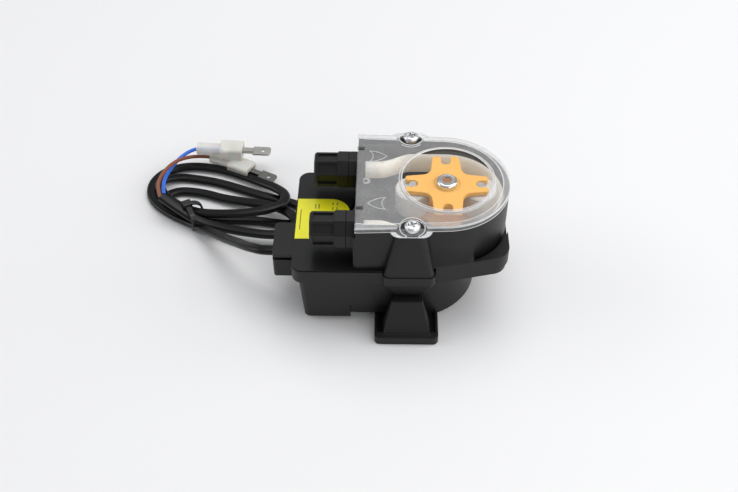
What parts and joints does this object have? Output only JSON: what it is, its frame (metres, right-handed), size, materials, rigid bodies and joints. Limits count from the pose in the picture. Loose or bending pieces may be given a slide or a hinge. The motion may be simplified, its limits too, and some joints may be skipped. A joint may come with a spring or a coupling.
{
  "type": "peristaltic dosing pump",
  "caption": "Peristaltic dosing pump with a clear cover over a roller rotor, a geared mains motor, hose fittings with clamping nuts, a flat cord and a clip-on wall bracket.",
  "frame": {"origin": "on the wall face of the bracket, at the bracket's centre, midway between its two screw holes", "axes": "+Z out of the wall face towards the clear cover, +X from the cord entry towards the pump head, +Y towards the inlet fitting"},
  "size_m": [0.18, 0.1278, 0.0613],
  "materials": {
    "black_plastic": "satin moulded",
    "clear_plastic": "clear, hazed on its flat area",
    "zinc_steel": "zinc plated",
    "bright_steel": "ground",
    "yellow_plastic": "moulded",
    "roller_plastic": "turned",
    "chromed_cap": "polished",
    "seal_rubber": "matt",
    "pump_hose": "satin, slightly translucent",
    "acetal": "moulded",
    "bronze": "sintered",
    "copper_winding": "enamelled wire",
    "ferrite": "ground",
    "nylon": "moulded",
    "yellow_label": "printed film",
    "cord_sheath": "satin",
    "brown_insulation": "satin",
    "blue_insulation": "satin",
    "clear_sleeve": "milky",
    "tinned_tab": "tinned"
  },
  "bodies": {
    "pump": {"upper_housing": "black_plastic", "lower_housing": "black_plastic", "cover": "clear_plastic", "cover_screws": "zinc_steel", "housing_screws": "zinc_steel", "shaft_seal": "seal_rubber", "pump_tube": "pump_hose", "inlet_fitting": "black_plastic", "outlet_fitting": "black_plastic", "reduction_pin": "bright_steel", "gear_plate_lower": "zinc_steel", "gear_plate_upper": "zinc_steel", "gear_plate_posts": "zinc_steel", "shaft_bush_lower": "bronze", "shaft_bush_upper": "bronze", "motor_case": "zinc_steel", "claw_plate_lower": "zinc_steel", "claw_plate_upper": "zinc_steel", "motor_coil": "copper_winding", "motor_axle": "bright_steel", "terminal_block": "nylon", "terminal_screws": "zinc_steel", "cord_clamp": "black_plastic", "rating_label": "yellow_label", "wall_bracket": "black_plastic", "cord_inside": "cord_sheath", "motor_leads": "brown_insulation", "cord_lead": "cord_sheath", "cord_hank": "cord_sheath", "cable_tie": "black_plastic", "brown_wire": "brown_insulation", "blue_wire": "blue_insulation", "brown_sleeve": "clear_sleeve", "blue_sleeve": "clear_sleeve", "brown_tab": "tinned_tab", "blue_tab": "tinned_tab"},
    "rotor": {"spider_upper": "yellow_plastic", "spider_lower": "yellow_plastic", "roller_pins": "bright_steel", "rotor_cap": "chromed_cap", "output_shaft": "bright_steel", "output_gear": "acetal"},
    "left_roller": {"roller_left": "roller_plastic"},
    "right_roller": {"roller_right": "roller_plastic"},
    "reduction": {"reduction_gear": "acetal"},
    "magnet": {"magnet_rotor": "ferrite"},
    "inlet_clamp": {"inlet_ferrule": "acetal"},
    "inlet_nut": {"inlet_nut": "black_plastic"},
    "outlet_clamp": {"outlet_ferrule": "acetal"},
    "outlet_nut": {"outlet_nut": "black_plastic"}
  },
  "joints": [
    {"name": "rotor_spin", "type": "hinge", "parent": "pump", "child": "rotor", "pos_m": [0.01725, 0, 0.05], "axis": [0, 0, 1], "continuous": true},
    {"name": "left_roller_spin", "type": "hinge", "parent": "rotor", "child": "left_roller", "pos_m": [0.00205, 0, 0.05], "axis": [0, 0, 1], "continuous": true},
    {"name": "right_roller_spin", "type": "hinge", "parent": "rotor", "child": "right_roller", "pos_m": [0.03245, 0, 0.05], "axis": [0, 0, 1], "continuous": true},
    {"name": "reduction_spin", "type": "hinge", "parent": "pump", "child": "reduction", "pos_m": [0.00711, 0.01173, 0.03], "axis": [0, 0, 1], "continuous": true},
    {"name": "magnet_spin", "type": "hinge", "parent": "pump", "child": "magnet", "pos_m": [0.0015, 0, 0.014], "axis": [0, 0, 1], "continuous": true},
    {"name": "inlet_nut_travel", "type": "slide", "parent": "pump", "child": "inlet_clamp", "axis": [-1, 0, 0], "range_m": [0, 0.0106]},
    {"name": "inlet_nut_turn", "type": "hinge", "parent": "inlet_clamp", "child": "inlet_nut", "pos_m": [-0.035, 0.0197, 0.0483], "axis": [-1, 0, 0], "range_deg": [0, 2520]},
    {"name": "outlet_nut_travel", "type": "slide", "parent": "pump", "child": "outlet_clamp", "axis": [-1, 0, 0], "range_m": [0, 0.0106]},
    {"name": "outlet_nut_turn", "type": "hinge", "parent": "outlet_clamp", "child": "outlet_nut", "pos_m": [-0.035, -0.0197, 0.0483], "axis": [-1, 0, 0], "range_deg": [0, 2520]}
  ],
  "couplings": [
    {"joint": "left_roller_spin", "follows": "rotor_spin", "ratio": -2.9806},
    {"joint": "right_roller_spin", "follows": "rotor_spin", "ratio": -2.9806},
    {"joint": "reduction_spin", "follows": "rotor_spin", "ratio": -4.1667},
    {"joint": "magnet_spin", "follows": "rotor_spin", "ratio": 13.889},
    {"joint": "inlet_nut_travel", "follows": "inlet_nut_turn", "m_per_rad": 0.00023873},
    {"joint": "outlet_nut_travel", "follows": "outlet_nut_turn", "m_per_rad": 0.00023873}
  ]
}
